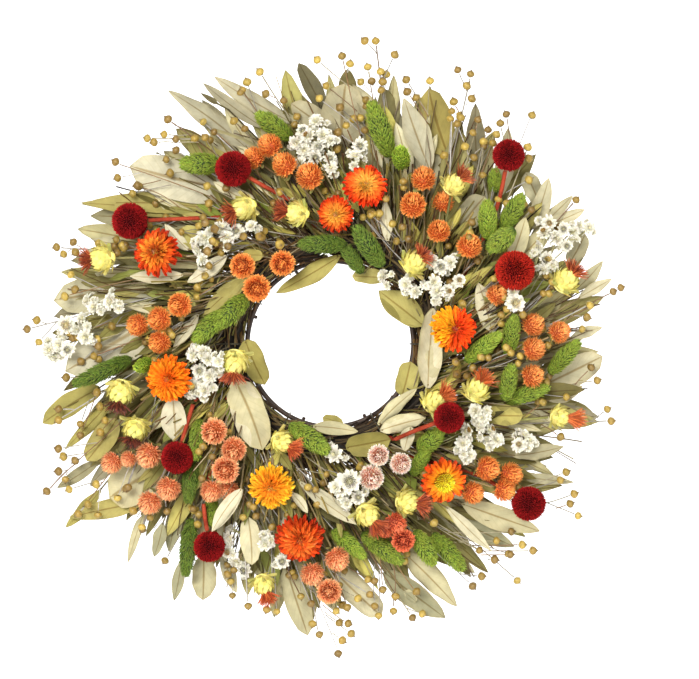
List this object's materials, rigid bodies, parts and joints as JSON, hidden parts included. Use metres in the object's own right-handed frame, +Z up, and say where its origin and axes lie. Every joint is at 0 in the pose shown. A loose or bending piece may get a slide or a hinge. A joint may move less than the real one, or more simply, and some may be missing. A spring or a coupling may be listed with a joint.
{
  "type": "harvest door wreath",
  "caption": "Round door wreath of dried flowers, seed heads and leaves bound on a four-rail wire form, with a folding hanging loop at the back.",
  "frame": {"origin": "centre of the hanging eye's hole, halfway through its thickness, on the wreath's vertical centre line", "axes": "+Z up towards the top of the wreath, +Y out of the wreath's back into the door, so the face looks along -Y, and +X to the viewer's right"},
  "size_m": [0.488, 0.0885, 0.5024],
  "materials": {
    "rail_wire": "satin dark brown paint",
    "binding_wire": "dull green-grey florist wire",
    "loop_steel": "zinc-plated sheet steel",
    "dry_stems": "matte dried stems",
    "strawflower_bracts": "stiff papery bracts with a slight sheen",
    "burgundy_globes": "velvety florets",
    "amaranth_bracts": "dry papery bracts",
    "grass_spikes": "fine scaly husks",
    "everlasting_florets": "papery white florets",
    "safflower_heads": "dry bulb with a tuft of rust-coloured threads",
    "flax_capsules": "dry golden seed capsules",
    "white_leaves": "bleached felted leaves",
    "cream_leaves": "dried cream leaves",
    "olive_leaves": "dried olive leaves"
  },
  "bodies": {
    "wreath": {"frame_rail_inner": "rail_wire", "frame_rail_outer": "rail_wire", "frame_rail_back_inner": "rail_wire", "frame_rail_back_outer": "rail_wire", "frame_cross_braces": "rail_wire", "binding_wire": "binding_wire", "stem_bundles_ne": "dry_stems", "stem_bundles_nw": "dry_stems", "stem_bundles_sw": "dry_stems", "stem_bundles_se": "dry_stems", "strawflower_1": "strawflower_bracts", "strawflower_2": "strawflower_bracts", "strawflower_3": "strawflower_bracts", "strawflower_4": "strawflower_bracts", "strawflower_5": "strawflower_bracts", "strawflower_6": "strawflower_bracts", "strawflower_7": "strawflower_bracts", "strawflower_8": "strawflower_bracts", "drumstick_1": "burgundy_globes", "drumstick_2": "burgundy_globes", "drumstick_3": "burgundy_globes", "drumstick_4": "burgundy_globes", "drumstick_5": "burgundy_globes", "drumstick_6": "burgundy_globes", "drumstick_7": "burgundy_globes", "drumstick_8": "burgundy_globes", "gomphrena_top_left": "amaranth_bracts", "gomphrena_top_right": "amaranth_bracts", "gomphrena_inner_left": "amaranth_bracts", "gomphrena_left": "amaranth_bracts", "gomphrena_right": "amaranth_bracts", "gomphrena_lower_left": "amaranth_bracts", "gomphrena_far_left": "amaranth_bracts", "gomphrena_bottom": "amaranth_bracts", "gomphrena_lower_right": "amaranth_bracts", "canary_grass_nw": "grass_spikes", "canary_grass_ne": "grass_spikes", "canary_grass_sw": "grass_spikes", "canary_grass_se": "grass_spikes", "everlasting_nw": "everlasting_florets", "everlasting_ne": "everlasting_florets", "everlasting_sw": "everlasting_florets", "everlasting_se": "everlasting_florets", "safflower_left": "safflower_heads", "safflower_right": "safflower_heads", "leaves_top_cream": "cream_leaves", "leaves_top_olive": "olive_leaves", "leaves_right": "cream_leaves", "leaves_bottom": "cream_leaves", "leaves_left_olive": "olive_leaves", "leaves_left_cream": "cream_leaves", "leaves_inner_white": "white_leaves", "leaves_inner_cream": "cream_leaves", "leaves_inner_olive": "olive_leaves", "leaves_back": "cream_leaves", "flax_nw": "flax_capsules", "flax_ne": "flax_capsules", "flax_sw": "flax_capsules", "flax_se": "flax_capsules"},
    "hanger": {"hanging_loop": "loop_steel"}
  },
  "joints": [
    {"name": "loop_fold", "type": "hinge", "parent": "wreath", "child": "hanger", "pos_m": [0, -0.0018, -0.022], "axis": [1, 0, 0], "range_deg": [-95, 0]}
  ]
}
